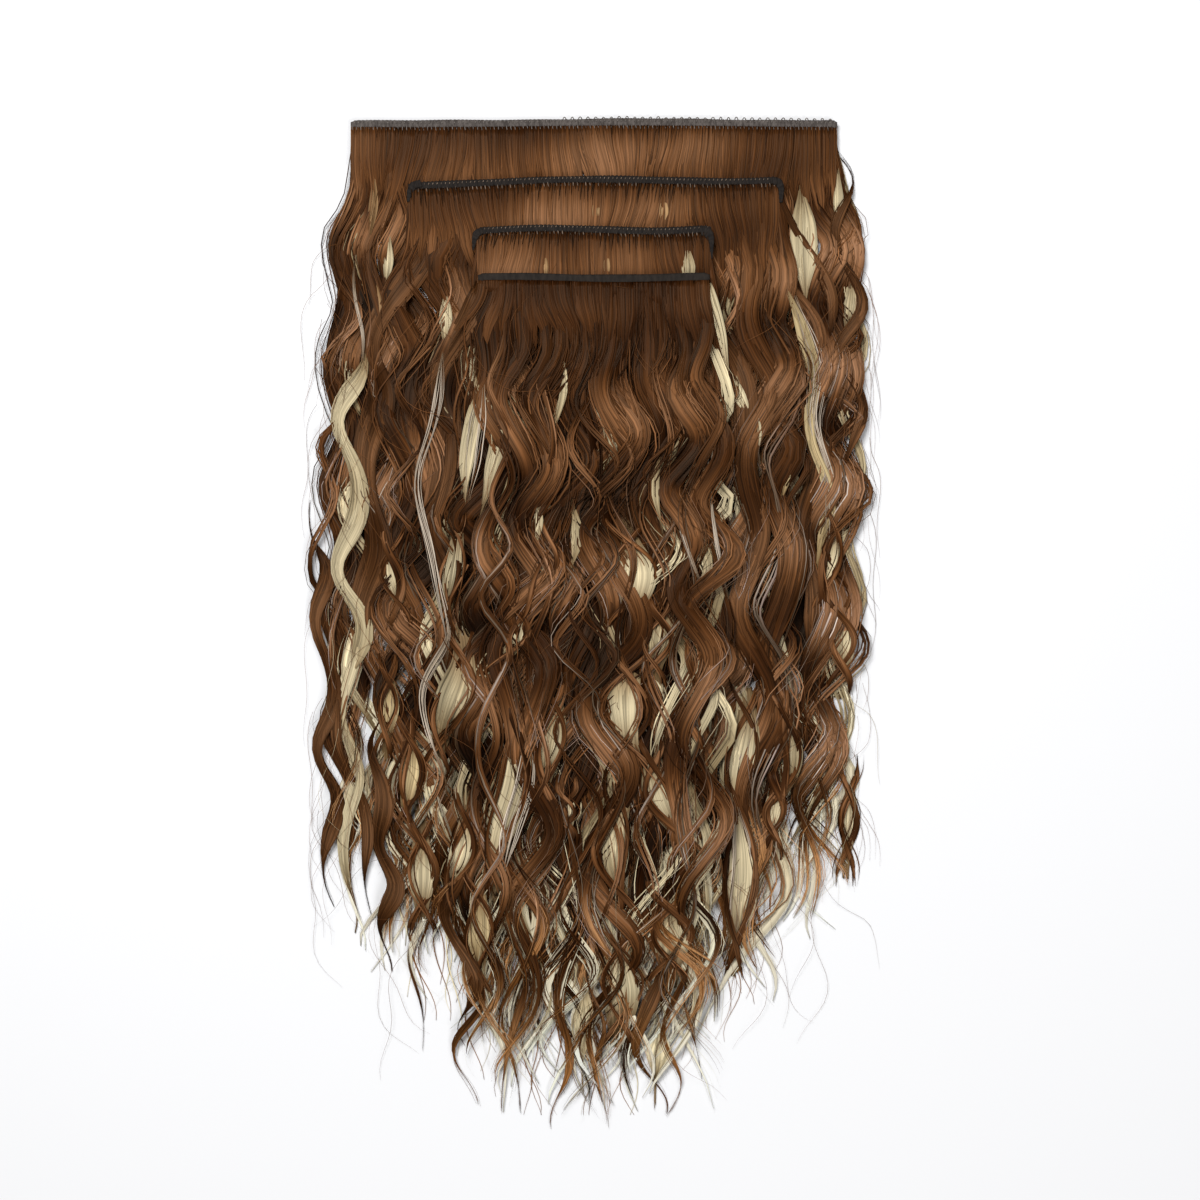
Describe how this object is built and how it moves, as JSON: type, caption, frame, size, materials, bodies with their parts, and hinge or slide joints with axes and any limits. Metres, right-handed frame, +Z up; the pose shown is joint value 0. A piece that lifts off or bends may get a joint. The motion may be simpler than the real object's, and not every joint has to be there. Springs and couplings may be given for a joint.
{
  "type": "hair extension",
  "caption": "Clip-in hair extension laid flat: stacked sewn tracks of graded width carry wavy brown hair with blond streaks, with snap clips beneath.",
  "frame": {"origin": "on the surface that it lies on, under the middle of its box", "axes": "+Z up from the surface, +Y along the hair towards the tracks, +X to the right seen from above"},
  "size_m": [0.3238, 0.5672, 0.0318],
  "materials": {
    "hair": "glossy synthetic fibre, brown with blond and silver streaks",
    "track": "black sewn tape with rows of machine stitches",
    "clip": "dark brown lacquer"
  },
  "bodies": {
    "root": {"track_1": "track", "hair_1": "hair", "clip_1_1": "clip", "clip_1_2": "clip", "clip_1_3": "clip", "clip_1_4": "clip", "track_2": "track", "hair_2": "hair", "clip_2_1": "clip", "clip_2_2": "clip", "clip_2_3": "clip", "track_3": "track", "hair_3": "hair", "clip_3_1": "clip", "clip_3_2": "clip", "track_4": "track", "hair_4": "hair", "clip_4_1": "clip", "clip_4_2": "clip"}
  },
  "joints": []
}
